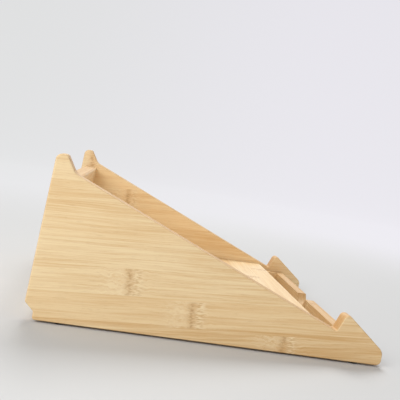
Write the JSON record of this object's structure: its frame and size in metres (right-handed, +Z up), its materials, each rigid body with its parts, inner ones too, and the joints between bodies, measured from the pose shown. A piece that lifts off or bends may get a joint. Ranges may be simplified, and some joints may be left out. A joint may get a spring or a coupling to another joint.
{
  "type": "laptop stand with drawer",
  "caption": "Bamboo wedge laptop stand: two side panels with rear horns and front stops, a shelf between them and a slim front drawer.",
  "frame": {"origin": "centre of the footprint, on the table", "axes": "+Z up; -Y towards the user, where the stops and the drawer front are; +X to the user's right"},
  "size_m": [0.25, 0.2685, 0.1217],
  "materials": {
    "bamboo": "laminated bamboo, clear satin oil",
    "bamboo_board": "thin laminated bamboo board, clear satin oil",
    "beech": "plain turned beech",
    "screw_steel": "zinc-plated steel",
    "felt": "dark grey felt",
    "foot_rubber": "matt black rubber"
  },
  "bodies": {
    "stand": {"side_panel_left": "bamboo", "side_panel_right": "bamboo", "shelf_board": "bamboo_board", "rear_top_rail": "bamboo", "rear_bottom_rail": "bamboo", "top_rail_dowels": "beech", "bottom_rail_dowels": "beech", "runner_left": "bamboo", "runner_right": "bamboo", "runner_screws": "screw_steel", "drawer_bumpers": "felt", "foot_front_left": "foot_rubber", "foot_front_right": "foot_rubber", "foot_rear_left": "foot_rubber", "foot_rear_right": "foot_rubber"},
    "drawer": {"drawer_front": "bamboo", "drawer_side_left": "bamboo", "drawer_side_right": "bamboo", "drawer_back": "bamboo", "drawer_bottom": "bamboo_board", "divider_cross": "bamboo", "divider_long": "bamboo", "drawer_pins": "beech"}
  },
  "joints": [
    {"name": "drawer_slide", "type": "slide", "parent": "stand", "child": "drawer", "axis": [0, -1, 0], "range_m": [0, 0.15]}
  ]
}
